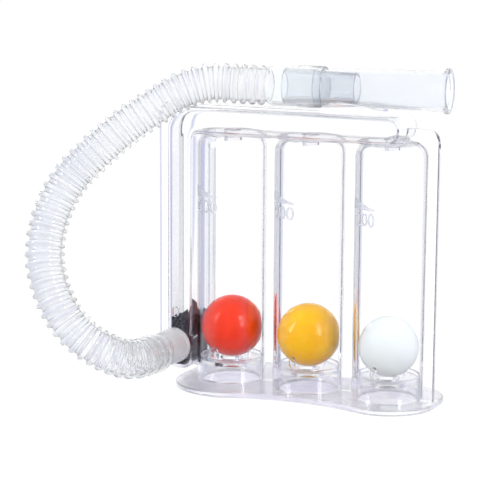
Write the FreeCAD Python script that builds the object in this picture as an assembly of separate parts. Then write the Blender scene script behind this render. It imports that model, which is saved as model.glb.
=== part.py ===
"""Three-ball incentive spirometer: a clear body of two welded shells with three ball columns.

Air is drawn from the mouthpiece through the hose, the spigot, the foam filter and the
inverted-L duct. Each column opens into the header above it, and room air enters under its ball.

Frame: +X runs along the row of columns, away from the duct. -Y is the front, where the hose
leaves. +Z is up. The origin is under the middle of the body's box, on the standing surface.
All sizes are in millimetres.
"""
import FreeCAD, Part
import math
import os

V = FreeCAD.Vector

# Balls
ball_d = 29.0
white_ball_d = 27.2
ball_wall = 0.8
rest_gap = 0.3

# Columns
column_pitch = 39.5
bore_r = 15.0
wall = 1.4
ceiling_z = 116.1
column_shoulder_r = 7.0
outlet_r = 4.2
outlet_rise = 3.5
stop_bar_width = 1.8
stop_bar_depth = 2.5
stop_bar_overhang = 2.5

# Inverted-L duct: a foot beside the first column and a header over all three
half_depth = 14.0
duct_width = 12.6
duct_lap = 0.7
duct_foot_z = 5.2
header_end_reach = 46.6
header_end_r = 6.2
duct_corner_r = 12.0
duct_inner_r = 3.0
duct_end_r = 5.0
duct_edge_r = 4.0

# Flange along the weld line
flange_t = 3.0
flange_left_reach = 77.5
flange_right_reach = 61.3
flange_drop = 5.5
flange_lip = 0.7
flange_corner_r = 6.0
flange_step_r = 2.0

# Foot plate and pedestals
plate_t = 2.0
plate_edge_r = 0.9
foot_half_depth = 32.7
left_lobe_x = -36.0
left_lobe_r = 26.2
right_lobe_x = 41.0
right_lobe_y = 4.6
right_lobe_r = 21.8
waist_r = 95.0
plate_rim = 3.5
plate_recess = 0.8
air_notch = 7.0
pedestal_top_z = 12.4
seat_drop = 1.4
seat_t = 1.6
seat_hole_r = 5.5
peg_reach = 6.6
peg_r = 0.8
peg_rise = 0.45
peg_count = 4
pedestal_wall = 1.4
pedestal_fit = 0.05

# Hose spigot on the duct's foot
spigot_z = 17.4
spigot_r = 6.0
spigot_wall = 1.2
spigot_length = 12.0
boss_r = 7.3
boss_length = 1.5

# Gate pips on the front of the columns and the duct
pip_width = 2.6
pip_height = 4.6
pip_proud = 1.5
column_pip_z = 16.6
duct_pip_z = 33.0

# Foam filter
foam_gap = 0.3
foam_top_z = 30.0

# Hose and cuffs
hose_d = 18.0
hose_wall = 1.1
cuff_wall = 1.9
lower_cuff_length = 14.0
hose_lead = 14.0
upper_cuff_length = 25.5
upper_cuff_wall = 0.9
cuff_band_length = 12.0
cuff_band_t = 0.35

# Mouthpiece line: connector, mouthpiece and the rest that carries it
line_fit = 0.08
line_yaw = 8.0
line_x = 6.6
mouthpiece_r = 8.0
mouthpiece_shoulder_r = 8.5
mouthpiece_shoulder_start = 0.7
mouthpiece_shoulder_end = 3.5
mouthpiece_lip_end_r = 8.9
mouthpiece_wall = 1.05
mouth_bore_r = 7.6
mouth_bore_length = 14.0
mouthpiece_length = 60.1
mouthpiece_in_cuff = 3.6
lip_r = 10.0
lip_t = 2.0
connector_big_length = 14.5
connector_small_length = 18.8
connector_wall = 1.1
rest_under = 1.3
rest_start = 0.6
rest_length = 26.0
rest_peak_s = 7.7
rest_peak_height = 5.4
rest_start_height = 2.5
rest_end_height = 1.9
rest_wall = 0.9
rest_clearance = 0.5

# Tolerance for picking edges
near = 1e-6

# Derived places
right_reach = right_lobe_x + right_lobe_r
mid_x = (flange_left_reach - right_reach) / 2
column_x = [mid_x - column_pitch, mid_x, mid_x + column_pitch]
column_r = bore_r + wall
duct_right = column_x[0] - column_r + duct_lap
duct_left = duct_right - duct_width
duct_x = (duct_left + duct_right) / 2
header_bottom = ceiling_z
header_top = header_bottom + duct_width
header_end = mid_x + header_end_reach
flange_top_z = header_top - flange_drop
left_lobe_y = foot_half_depth - left_lobe_r
pedestal_r = bore_r - pedestal_fit
peg_z = pedestal_top_z + peg_rise
spigot_tip_y = -half_depth - boss_length - spigot_length
cuff_bore_r = mouthpiece_r + line_fit
line_z = header_top + rest_under + mouthpiece_lip_end_r + rest_clearance
line_dir = V(math.cos(math.radians(line_yaw)), math.sin(math.radians(line_yaw)), 0)
line_origin = V(mid_x + line_x, 0, line_z)

# Hose route, from the lower cuff to the upper cuff
hose_start = V(duct_x, -half_depth - boss_length - lower_cuff_length, spigot_z)
hose_end = line_origin - line_dir * upper_cuff_length
hose_points = [
    hose_start,
    hose_start - V(0, 9.5, 0),
    V(-57.2, -49.7, 16.7),
    V(-64.9, -60.2, 21.6),
    V(-76.9, -67.1, 31.7),
    V(-87.4, -68.0, 46.7),
    V(-94.3, -64.5, 64.2),
    V(-94.9, -57.5, 81.2),
    V(-90.4, -49.4, 96.8),
    V(-81.3, -41.1, 108.4),
    V(-71.1, -33.7, 119.5),
    V(-59.5, -26.1, 128.7),
    V(-48.6, -18.4, 136.9),
    V(-37.4, -10.9, 140.4),
    hose_end - line_dir * hose_lead,
    hose_end,
]


def rounded_wire(corners, make_point):
    """Closed wire through corners (u, w, r), each corner rounded by an arc of radius r."""
    edges = []
    starts = []
    ends = []
    count = len(corners)
    for i, (u, w, r) in enumerate(corners):
        here = V(u, w, 0)
        before = V(corners[i - 1][0], corners[i - 1][1], 0)
        after = V(corners[(i + 1) % count][0], corners[(i + 1) % count][1], 0)
        to_before = (before - here).normalize()
        to_after = (after - here).normalize()
        half = to_before.getAngle(to_after) / 2
        reach = r / math.tan(half)
        starts.append(here + to_before * reach)
        ends.append(here + to_after * reach)
        if r > 0:
            to_centre = (to_before + to_after).normalize()
            middle = here + to_centre * (r / math.sin(half) - r)
            edges.append(Part.Arc(*[make_point(p.x, p.y) for p in (starts[i], middle, ends[i])]).toShape())
    for i in range(count):
        a = make_point(ends[i - 1].x, ends[i - 1].y)
        b = make_point(starts[i].x, starts[i].y)
        edges.append(Part.LineSegment(a, b).toShape())
    return Part.Wire(Part.__sortEdges__(edges))


def front_profile(corners, half):
    """Solid with the given outline seen from the front, from -half to +half in depth."""
    wire = rounded_wire(corners, lambda x, z: V(x, -half, z))
    return Part.Face(wire).extrude(V(0, 2 * half, 0))


def edges_at(shape, test):
    """Edges of a shape whose whole bounding box passes the test."""
    return [edge for edge in shape.Edges if test(edge.BoundBox)]


def cylinder(r, length, base, axis):
    """Cylinder of radius r from base along axis."""
    return Part.makeCylinder(r, length, base, axis)


def duct_outline(inset):
    """Corners of the inverted-L duct, drawn in by the inset."""
    left = duct_left + inset
    right = duct_right - inset
    foot = duct_foot_z + inset
    top = header_top - inset
    under = header_bottom + inset
    end = header_end - inset
    foot_r = duct_end_r - inset
    end_r = header_end_r - inset
    return [(left, foot, foot_r), (right, foot, foot_r), (right, under, duct_inner_r + inset),
            (end, under, end_r), (end, top, end_r), (left, top, duct_corner_r - inset)]


def duct_solid(inset):
    """The duct as one solid with rounded front and back edges, drawn in by the inset."""
    half = half_depth - inset
    solid = front_profile(duct_outline(inset), half)
    rims = edges_at(solid, lambda b: abs(abs(b.YMin) - half) < near and b.YLength < near)
    return solid.makeFillet(duct_edge_r - inset, rims)


def column_solid(x, r, top, shoulder):
    """A round column standing on the foot plate, with a rounded shoulder under its top."""
    solid = cylinder(r, top - plate_t, V(x, 0, plate_t), V(0, 0, 1))
    rim = edges_at(solid, lambda b: b.ZMin > top - near)
    return solid.makeFillet(shoulder, rim)


def flange_solid():
    """The weld flange: one sheet that joins the columns and the duct and frames them."""
    left = mid_x - flange_left_reach
    right = mid_x + flange_right_reach
    top = header_top + flange_lip
    lip_end = line_origin.x + rest_start - flange_lip
    foot_x = duct_right
    corners = [(left, duct_foot_z, flange_step_r), (foot_x, duct_foot_z, 0), (foot_x, plate_t, 0),
               (right, plate_t, 0), (right, flange_top_z, flange_corner_r), (lip_end, flange_top_z, 0),
               (lip_end, top, flange_lip / 2), (left, top, flange_corner_r)]
    return front_profile(corners, flange_t / 2)


def pip(x, y, z):
    """A gate pip: a short upright lug with round ends, standing proud of the front."""
    half = pip_width / 2
    upright = pip_height / 2 - half
    deep = pip_proud + wall / 2
    top = cylinder(half, deep, V(x, y - pip_proud, z + upright), V(0, 1, 0))
    low = cylinder(half, deep, V(x, y - pip_proud, z - upright), V(0, 1, 0))
    bar = Part.makeBox(pip_width, deep, 2 * upright, V(x - half, y - pip_proud, z - upright))
    return top.fuse([low, bar])


def stop_bar(x):
    """The bar under a column's outlet that stops the ball before it seals the hole."""
    half_length = outlet_r + stop_bar_overhang
    return Part.makeBox(stop_bar_width, 2 * half_length, stop_bar_depth + wall,
                        V(x - stop_bar_width / 2, -half_length, ceiling_z - stop_bar_depth))


def body_shells():
    """Front and rear shells: the whole hollow body, parted at the middle of the flange."""
    forward = V(0, -1, 0)
    up = V(0, 0, 1)
    boss = cylinder(boss_r, half_depth + boss_length - wall, V(duct_x, -wall, spigot_z), forward)
    boss = boss.common(Part.makeBox(4 * boss_r, half_depth, 4 * boss_r,
                                    V(duct_x - 2 * boss_r, -half_depth - boss_length, spigot_z - 2 * boss_r)))
    spigot = cylinder(spigot_r, -spigot_tip_y - wall, V(duct_x, -wall, spigot_z), forward)
    pips = [pip(x, -column_r, column_pip_z) for x in column_x]
    pips.append(pip(duct_x, -half_depth, duct_pip_z))
    columns = [column_solid(x, column_r, ceiling_z + wall, column_shoulder_r) for x in column_x]
    outer = duct_solid(0).fuse(columns + [flange_solid(), boss, spigot] + pips)
    bores = [column_solid(x, bore_r, ceiling_z, column_shoulder_r - wall) for x in column_x]
    outlets = [cylinder(outlet_r, wall + outlet_rise, V(x, 0, ceiling_z - wall), up) for x in column_x]
    port = cylinder(spigot_r - spigot_wall, -spigot_tip_y, V(duct_x, 0, spigot_z), forward)
    hollow = outer.cut([duct_solid(wall), port] + bores + outlets)
    body = hollow.fuse([stop_bar(x) for x in column_x]).removeSplitter()
    size = 4 * flange_left_reach
    front_space = Part.makeBox(size, size, size, V(-size / 2, -size, -size / 4))
    rear_space = Part.makeBox(size, size, size, V(-size / 2, 0, -size / 4))
    return body.common(front_space), body.common(rear_space)


def waist_centre():
    """Centre of the arc that joins the two front lobes, tangent to both."""
    left = V(left_lobe_x, -left_lobe_y, 0)
    right = V(right_lobe_x, -right_lobe_y, 0)
    along = right - left
    span = along.Length
    reach_left = left_lobe_r + waist_r
    reach_right = right_lobe_r + waist_r
    step = (reach_left ** 2 - reach_right ** 2 + span ** 2) / (2 * span)
    drop = math.sqrt(reach_left ** 2 - step ** 2)
    along.normalize()
    return left + along * step + V(along.y, -along.x, 0) * drop


def plate_outline(inset, z):
    """The foot plate's edge: two lobes in front joined by a shallow waist, mirrored behind."""
    left = V(left_lobe_x, -left_lobe_y, 0)
    right = V(right_lobe_x, -right_lobe_y, 0)
    waist = waist_centre()
    left_r = left_lobe_r - inset
    right_r = right_lobe_r - inset
    concave_r = waist_r + inset
    left_join = left + (waist - left).normalize() * left_r
    right_join = right + (waist - right).normalize() * right_r
    left_end = left - V(left_r, 0, 0)
    right_end = right + V(right_r, 0, 0)

    def bulge(centre, a, b, r):
        return centre + ((a - centre) + (b - centre)).normalize() * r

    arcs = [(left_end, bulge(left, left_end, left_join, left_r), left_join),
            (left_join, waist + V(0, concave_r, 0), right_join),
            (right_join, bulge(right, right_join, right_end, right_r), right_end)]
    edges = []
    for side in (1, -1):
        for points in arcs:
            edges.append(Part.Arc(*[V(mid_x + p.x, side * p.y, z) for p in points]).toShape())
    for end in (left_end, right_end):
        edges.append(Part.LineSegment(V(mid_x + end.x, end.y, z), V(mid_x + end.x, -end.y, z)).toShape())
    return Part.Face(Part.Wire(Part.__sortEdges__(edges)))


def base_plate():
    """Foot plate with an air inlet under each column."""
    up = V(0, 0, 1)
    plate = plate_outline(0, 0).extrude(V(0, 0, plate_t))
    rim = edges_at(plate, lambda b: b.ZMin > plate_t - near)
    plate = plate.makeFillet(plate_edge_r, rim)
    recess = plate_outline(plate_rim, 0).extrude(V(0, 0, plate_recess))
    notches = [Part.makeBox(air_notch, foot_half_depth, plate_recess, V(x - air_notch / 2, 0, 0))
               for x in column_x]
    inlets = [cylinder(pedestal_r - pedestal_wall, plate_t, V(x, 0, 0), up) for x in column_x]
    return plate.cut([recess] + notches + inlets).removeSplitter()


def pedestal(x):
    """Hollow cup on the foot plate that plugs a column; pegs on its floor hold the ball off the air hole."""
    up = V(0, 0, 1)
    inner_r = pedestal_r - pedestal_wall
    floor_z = pedestal_top_z - seat_drop
    cup = cylinder(pedestal_r, pedestal_top_z - plate_t, V(x, 0, plate_t), up)
    space_below = cylinder(inner_r, floor_z - seat_t - plate_t, V(x, 0, plate_t), up)
    space_above = cylinder(inner_r, seat_drop, V(x, 0, floor_z), up)
    hole = cylinder(seat_hole_r, pedestal_top_z, V(x, 0, plate_t), up)
    pegs = []
    for i in range(peg_count):
        angle = math.pi * (2 * i + 1) / peg_count
        reach = peg_reach + peg_r
        foot = V(x + reach * math.cos(angle), reach * math.sin(angle), floor_z - seat_t / 2)
        pegs.append(cylinder(peg_r, peg_z - foot.z, foot, up))
    return cup.cut([space_below, space_above, hole]).fuse(pegs).removeSplitter()


def ball(x, diameter):
    """A hollow ball resting over its seat hole, lifted by the rest gap."""
    r = diameter / 2
    centre = V(x, 0, peg_z + math.sqrt((r + rest_gap) ** 2 - peg_reach ** 2))
    return Part.makeSphere(r, centre).cut(Part.makeSphere(r - ball_wall, centre))


def foam_filter():
    """Foam block that fills the foot of the duct behind the spigot."""
    gap = wall + foam_gap
    half = half_depth - gap
    corner_r = duct_end_r - gap
    left = duct_left + gap
    right = duct_right - gap
    low = duct_foot_z + gap
    corners = [(left, low, corner_r), (right, low, corner_r), (right, foam_top_z, 0), (left, foam_top_z, 0)]
    block = front_profile(corners, half)
    rims = edges_at(block, lambda b: abs(abs(b.YMin) - half) < near and b.YLength < near)
    return block.makeFillet(duct_edge_r - gap, [e for e in rims if e.BoundBox.ZLength > foam_top_z / 4])


def hose_path():
    """Route of the hose as straight runs joined by tangent arcs, and the arcs' radii."""
    edges = []
    radii = []
    last = hose_points[0]
    for before, here, after in zip(hose_points, hose_points[1:], hose_points[2:]):
        to_before = before - here
        to_after = after - here
        shorter = min(to_before.Length, to_after.Length)
        half_turn = (math.pi - to_before.getAngle(to_after)) / 2
        reach = 0.45 * shorter
        radii.append(reach / math.tan(half_turn))
        to_before.normalize()
        to_after.normalize()
        start = here + to_before * reach
        end = here + to_after * reach
        centre = here + (to_before + to_after).normalize() * (radii[-1] / math.cos(half_turn))
        middle = centre + (here - centre).normalize() * radii[-1]
        edges.append(Part.LineSegment(last, start).toShape())
        edges.append(Part.Arc(start, middle, end).toShape())
        last = end
    edges.append(Part.LineSegment(last, hose_points[-1]).toShape())
    return Part.Wire(edges), radii


def swept_rod(path, r):
    """A rod of radius r along the hose route."""
    first = hose_points[1] - hose_points[0]
    circle = Part.Wire(Part.makeCircle(r, hose_points[0], first.normalize()))
    return path.makePipeShell([circle], True, True)


def hose():
    """The hose as a plain tube along its route."""
    path, radii = hose_path()
    tube = swept_rod(path, hose_d / 2).cut(swept_rod(path, hose_d / 2 - hose_wall))
    section = math.pi * ((hose_d / 2) ** 2 - (hose_d / 2 - hose_wall) ** 2)
    print("hose length %.1f, radii %s" % (path.Length, " ".join("%.0f" % r for r in radii)))
    print("hose volume over section times length %.4f" % (tube.Volume / (section * path.Length)))
    return tube


def ring(outer_r, inner_r, start, axis, length):
    """A round sleeve from start along axis."""
    return cylinder(outer_r, length, start, axis).cut(cylinder(inner_r, length, start, axis))


def lower_cuff():
    """Smooth cuff of the hose, pushed over the spigot against its boss."""
    start = V(duct_x, -half_depth - boss_length, spigot_z)
    return ring(spigot_r + cuff_wall, spigot_r, start, V(0, -1, 0), lower_cuff_length)


def on_line(s):
    """Point on the mouthpiece line, s from the open end of the upper cuff."""
    return line_origin + line_dir * s


def upper_cuff():
    """Smooth cuff at the mouthpiece end, with a thicker band at its mouth."""
    outer_r = cuff_bore_r + upper_cuff_wall
    sleeve = ring(outer_r, cuff_bore_r, hose_end, line_dir, upper_cuff_length)
    band = ring(outer_r + cuff_band_t, outer_r, on_line(-cuff_band_length), line_dir, cuff_band_length)
    return sleeve.fuse(band).removeSplitter()


def revolved_on_line(profile):
    """Solid of revolution about the mouthpiece line from a closed profile of (s, r)."""
    points = [V(s, 0, r) for s, r in profile]
    face = Part.Face(Part.makePolygon(points + points[:1]))
    solid = face.revolve(V(0, 0, 0), V(1, 0, 0), 360)
    placement = FreeCAD.Placement(line_origin, FreeCAD.Rotation(V(0, 0, 1), line_yaw))
    return solid.transformed(placement.toMatrix())


def tube_connector():
    """Stepped adapter: its wide end sits in the cuff, its narrow end in the mouthpiece."""
    wide_r = cuff_bore_r - line_fit
    narrow_r = mouthpiece_r - mouthpiece_wall - line_fit
    bore = narrow_r - connector_wall
    shoulder = -mouthpiece_in_cuff - line_fit
    start = shoulder - connector_big_length
    end = shoulder + connector_small_length
    return revolved_on_line([(start, bore), (start, wide_r), (shoulder, wide_r), (shoulder, narrow_r),
                             (end, narrow_r), (end, bore)])


def mouthpiece():
    """Tapered tube with a lip flange at its free end."""
    start = -mouthpiece_in_cuff
    end = start + mouthpiece_length
    lip = end - lip_t
    straight = connector_small_length
    bore = mouthpiece_r - mouthpiece_wall
    taper_end = end - mouth_bore_length
    return revolved_on_line([(start, bore), (start, mouthpiece_r), (mouthpiece_shoulder_start, mouthpiece_r),
                             (mouthpiece_shoulder_end, mouthpiece_shoulder_r), (lip, mouthpiece_lip_end_r),
                             (lip, lip_r), (end, lip_r), (end, mouth_bore_r), (taper_end, mouth_bore_r),
                             (straight, bore)])


def mouthpiece_rest():
    """Cradle on the header: two peaked walls, front and rear, joined under the mouthpiece."""
    trough_r = mouthpiece_lip_end_r + rest_clearance
    axis_height = line_z - header_top
    half_width = math.sqrt(trough_r ** 2 - (axis_height - rest_peak_height) ** 2) + rest_wall
    end = rest_start + rest_length
    profile = [(rest_start, 0), (rest_start, rest_start_height), (rest_peak_s, rest_peak_height),
               (end, rest_end_height), (end, 0)]
    points = [V(s, -half_width, height - axis_height) for s, height in profile]
    block = Part.Face(Part.makePolygon(points + points[:1])).extrude(V(0, 2 * half_width, 0))
    trough = cylinder(trough_r, rest_length, V(rest_start, 0, 0), V(1, 0, 0))
    cradle = block.cut(trough).removeSplitter()
    placement = FreeCAD.Placement(line_origin, FreeCAD.Rotation(V(0, 0, 1), line_yaw))
    return cradle.transformed(placement.toMatrix())


def main():
    """Build every piece and write one STEP file for each."""
    os.makedirs("parts", exist_ok=True)
    front, rear = body_shells()
    pieces = {
        "front_shell": front,
        "rear_shell": rear,
        "base_plate": base_plate(),
        "red_pedestal": pedestal(column_x[0]),
        "yellow_pedestal": pedestal(column_x[1]),
        "white_pedestal": pedestal(column_x[2]),
        "red_ball": ball(column_x[0], ball_d),
        "yellow_ball": ball(column_x[1], ball_d),
        "white_ball": ball(column_x[2], white_ball_d),
        "foam_filter": foam_filter(),
        "hose": hose(),
        "hose_cuff_lower": lower_cuff(),
        "hose_cuff_upper": upper_cuff(),
        "tube_connector": tube_connector(),
        "mouthpiece": mouthpiece(),
        "mouthpiece_rest": mouthpiece_rest(),
    }
    for name, shape in pieces.items():
        box = shape.BoundBox
        print("%-16s solids %d valid %s volume %.0f  X %.1f %.1f Y %.1f %.1f Z %.1f %.1f" % (
            name, len(shape.Solids), shape.isValid(), shape.Volume,
            box.XMin, box.XMax, box.YMin, box.YMax, box.ZMin, box.ZMax))
        shape.exportStep("parts/%s.step" % name)


main()
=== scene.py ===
"""Three-ball breathing exerciser: the looks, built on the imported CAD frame.

Lengths in the dataclasses are in millimetres in the CAD's own frame, and MM turns them into
metres where a mesh is made.
"""
import logging
import math
from dataclasses import dataclass
from enum import Enum
from typing import List, Optional, Sequence, Tuple

import bmesh
import bpy
import numpy as np
from mathutils import Matrix, Vector


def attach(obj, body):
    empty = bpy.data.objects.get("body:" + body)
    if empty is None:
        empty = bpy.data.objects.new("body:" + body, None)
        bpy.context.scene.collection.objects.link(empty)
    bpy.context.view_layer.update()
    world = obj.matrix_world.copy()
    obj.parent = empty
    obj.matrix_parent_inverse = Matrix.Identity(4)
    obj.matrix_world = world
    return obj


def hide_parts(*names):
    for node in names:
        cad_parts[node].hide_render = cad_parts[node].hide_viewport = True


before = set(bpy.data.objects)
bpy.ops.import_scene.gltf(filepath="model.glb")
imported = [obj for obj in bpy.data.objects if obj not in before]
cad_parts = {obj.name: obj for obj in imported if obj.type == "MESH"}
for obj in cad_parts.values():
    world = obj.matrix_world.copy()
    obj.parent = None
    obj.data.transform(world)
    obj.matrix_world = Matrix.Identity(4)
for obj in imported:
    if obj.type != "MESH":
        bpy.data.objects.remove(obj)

LOG = logging.getLogger("spirometer")
MM = 0.001
WELD = 2e-6  # metres: vertices that lie closer than this are one
ON_SEAM = 1e-6  # metres: how near the weld plane a face of it lies
SHARP_EDGE = 32  # degrees: a wider turn between two faces stays a crisp edge
Colour = Tuple[float, float, float]
Point = Tuple[float, float, float]
Stops = Tuple[Tuple[float, Colour], ...]
WHITE: Colour = (1.0, 1.0, 1.0)
BOUNCES = 64  # stacked clear walls render black lines with fewer
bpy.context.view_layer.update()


class Body(Enum):
    """CAD bodies that pieces ride on."""

    HOUSING = "housing"
    RED_BALL = "red_ball"
    YELLOW_BALL = "yellow_ball"
    WHITE_BALL = "white_ball"
    CONNECTOR = "connector"
    MOUTHPIECE = "mouthpiece"


# Mesh tools


def new_piece(name: str, vertices: np.ndarray, quads: np.ndarray, smooth: bool = True) -> bpy.types.Object:
    """Make an object from vertices in millimetres and faces with four corners.

    Args:
        name: Name of the piece.
        vertices: Array (n, 3).
        quads: Array (m, 4) of corner numbers.
        smooth: Whether the faces are shaded smooth.

    Returns:
        The new object, linked to the scene.
    """
    mesh = bpy.data.meshes.new(name)
    count = len(quads)
    mesh.vertices.add(len(vertices))
    mesh.vertices.foreach_set("co", (vertices * MM).astype(np.float32).ravel())
    mesh.loops.add(count * 4)
    mesh.loops.foreach_set("vertex_index", quads.astype(np.int32).ravel())
    mesh.polygons.add(count)
    mesh.polygons.foreach_set("loop_start", np.arange(0, count * 4, 4, dtype=np.int32))
    mesh.polygons.foreach_set("use_smooth", np.full(count, smooth))
    mesh.update(calc_edges=True)
    mesh.validate()
    piece = bpy.data.objects.new(name, mesh)
    bpy.context.scene.collection.objects.link(piece)
    return piece


def torus_quads(rows: int, columns: int, first: int = 0) -> np.ndarray:
    """Corner numbers of a grid that closes both ways, row by row.

    Args:
        rows: Points round the section.
        columns: Points round the other way.
        first: Number of the grid's first vertex.

    Returns:
        Array (rows * columns, 4).
    """
    i, j = np.meshgrid(np.arange(rows), np.arange(columns), indexing="ij")
    down = (i + 1) % rows
    right = (j + 1) % columns
    corners = [i * columns + j, i * columns + right, down * columns + right, down * columns + j]
    return np.stack(corners, -1).reshape(-1, 4) + first


def tube_quads(rows: int, columns: int) -> np.ndarray:
    """Corner numbers of a grid whose columns close and whose rows don't.

    Args:
        rows: Rings along the tube.
        columns: Points round each ring.

    Returns:
        Array ((rows - 1) * columns, 4).
    """
    return torus_quads(rows, columns)[: (rows - 1) * columns]


def rounded_section(corners: Sequence[Tuple[float, float, float]], steps: int = 6) -> np.ndarray:
    """Closed section (s, r) whose corners are rounded by arcs.

    Each corner (s, r, radius) becomes points centre + radius (cos a, sin a), with a running
    between the two directions square to its edges.

    Args:
        corners: Corners in order, with the rounding radius of each.
        steps: Points on each rounded corner.

    Returns:
        Array (n, 2).
    """
    points = np.array([corner[:2] for corner in corners], float)
    radii = np.array([corner[2] for corner in corners], float)
    to_before = np.roll(points, 1, 0) - points
    to_after = np.roll(points, -1, 0) - points
    to_before /= np.linalg.norm(to_before, axis=1, keepdims=True)
    to_after /= np.linalg.norm(to_after, axis=1, keepdims=True)
    half = np.arccos(np.clip((to_before * to_after).sum(1), -1, 1)) / 2
    middle = to_before + to_after
    middle /= np.maximum(np.linalg.norm(middle, axis=1, keepdims=True), 1e-9)
    centre = points + middle * (radii / np.maximum(np.sin(half), 1e-3))[:, None]
    reach = (radii / np.tan(half))[:, None]
    start = points + to_before * reach - centre
    end = points + to_after * reach - centre
    t = np.linspace(0, 1, steps)[None, :, None]
    turn = np.arccos(np.clip((start * end).sum(1) / np.maximum(radii ** 2, 1e-9), -1, 1))[:, None, None]
    safe = np.maximum(np.sin(turn), 1e-6)
    arc = (np.sin((1 - t) * turn) * start[:, None] + np.sin(t * turn) * end[:, None]) / safe
    return (centre[:, None] + arc).reshape(-1, 2)


def turned(name: str, section: np.ndarray, origin: np.ndarray, axis: np.ndarray, around: int = 96
           ) -> bpy.types.Object:
    """Closed surface of revolution: origin + s axis + r (cos u e1 + sin u e2).

    Args:
        name: Name of the piece.
        section: Closed section (s, r), counter-clockwise in the s-r plane.
        origin: Point where s is zero, in millimetres.
        axis: Unit direction of s.
        around: Points round the axis.

    Returns:
        The new object.
    """
    e1 = np.cross(axis, [0.0, 0.0, 1.0])
    e1 /= np.linalg.norm(e1)
    e2 = np.cross(axis, e1)
    u = np.arange(around) / around * 2 * np.pi
    ring = np.cos(u)[:, None] * e1 + np.sin(u)[:, None] * e2
    grid = origin + section[:, None, :1] * axis + section[:, None, 1:] * ring[None]
    piece = new_piece(name, grid.reshape(-1, 3), torus_quads(len(section), around))
    face_outwards(piece)
    return piece


def face_outwards(piece: bpy.types.Object) -> None:
    """Turn the faces of a closed piece outwards, judged by its signed volume: the sum of a . (b x c).

    Args:
        piece: The closed piece, changed in place.
    """
    mesh = piece.data
    mesh.calc_loop_triangles()
    corners = np.zeros(len(mesh.loop_triangles) * 3, np.int32)
    mesh.loop_triangles.foreach_get("vertices", corners)
    places = np.zeros(len(mesh.vertices) * 3, np.float32)
    mesh.vertices.foreach_get("co", places)
    a, b, c = places.reshape(-1, 3)[corners.reshape(-1, 3)].transpose(1, 0, 2)
    if (a * np.cross(b, c)).sum() < 0:
        mesh.flip_normals()


# Materials


class Graph:
    """A node tree with short calls for the nodes used here."""

    def __init__(self, tree: bpy.types.NodeTree) -> None:
        """Take over a node tree and empty it."""
        self.tree = tree
        self.tree.nodes.clear()

    def add(self, kind: str, **settings: object) -> bpy.types.Node:
        """Add a node and set its properties or unlinked inputs by name.

        Args:
            kind: Blender's name for the type of node.
            settings: Values by the name of their property or input, with _ for a space.

        Returns:
            The new node.
        """
        node = self.tree.nodes.new(kind)
        for key, value in settings.items():
            if hasattr(node, key):
                setattr(node, key, value)
            else:
                node.inputs[key.replace("_", " ")].default_value = value
        return node

    def put(self, value: object, socket: bpy.types.NodeSocket) -> None:
        """Join an output to an input, or write a plain value into the input.

        Args:
            value: Output socket of another node, or a number, colour or vector.
            socket: The input.
        """
        if isinstance(value, bpy.types.NodeSocket):
            self.tree.links.new(value, socket)
        else:
            socket.default_value = value

    def feed(self, node: bpy.types.Node, *values: object) -> bpy.types.NodeSocket:
        """Fill a node's inputs in order.

        Args:
            node: The node.
            values: Output sockets or plain values, one for each of the first inputs.

        Returns:
            The node's first output.
        """
        for value, socket in zip(values, node.inputs):
            self.put(value, socket)
        return node.outputs[0]

    def math(self, operation: str, *values: object) -> bpy.types.NodeSocket:
        """Arithmetic on one to three values."""
        return self.feed(self.add("ShaderNodeMath", operation=operation), *values)

    def times(self, first: object, second: object) -> bpy.types.NodeSocket:
        """Product of two colours or vectors."""
        return self.feed(self.add("ShaderNodeVectorMath", operation="MULTIPLY"), first, second)

    def mix(self, share: object, first: object, second: object) -> bpy.types.NodeSocket:
        """Shader that is the first one where share is 0 and the second one where it is 1."""
        return self.feed(self.add("ShaderNodeMixShader"), share, first, second)

    def background(self, colour: object, strength: object) -> bpy.types.NodeSocket:
        """Light of the surroundings."""
        return self.feed(self.add("ShaderNodeBackground"), colour, strength)

    def unit(self, value: object, low: float, high: float) -> bpy.types.NodeSocket:
        """Value mapped from low..high to 0..1."""
        return self.feed(self.add("ShaderNodeMapRange"), value, low, high)

    def ramp(self, value: object, stops: Stops) -> bpy.types.NodeSocket:
        """Colour that runs through stops.

        Args:
            value: Place on the ramp, 0 to 1.
            stops: Places and their colours in rising order.

        Returns:
            The colour.
        """
        node = self.add("ShaderNodeValToRGB")
        elements = node.color_ramp.elements
        for element, (position, colour) in zip(elements, (stops[0], stops[-1])):
            element.position = position
            element.color = (*colour, 1)
        for position, colour in stops[1:-1]:
            elements.new(position).color = (*colour, 1)
        return self.feed(node, value)


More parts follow.
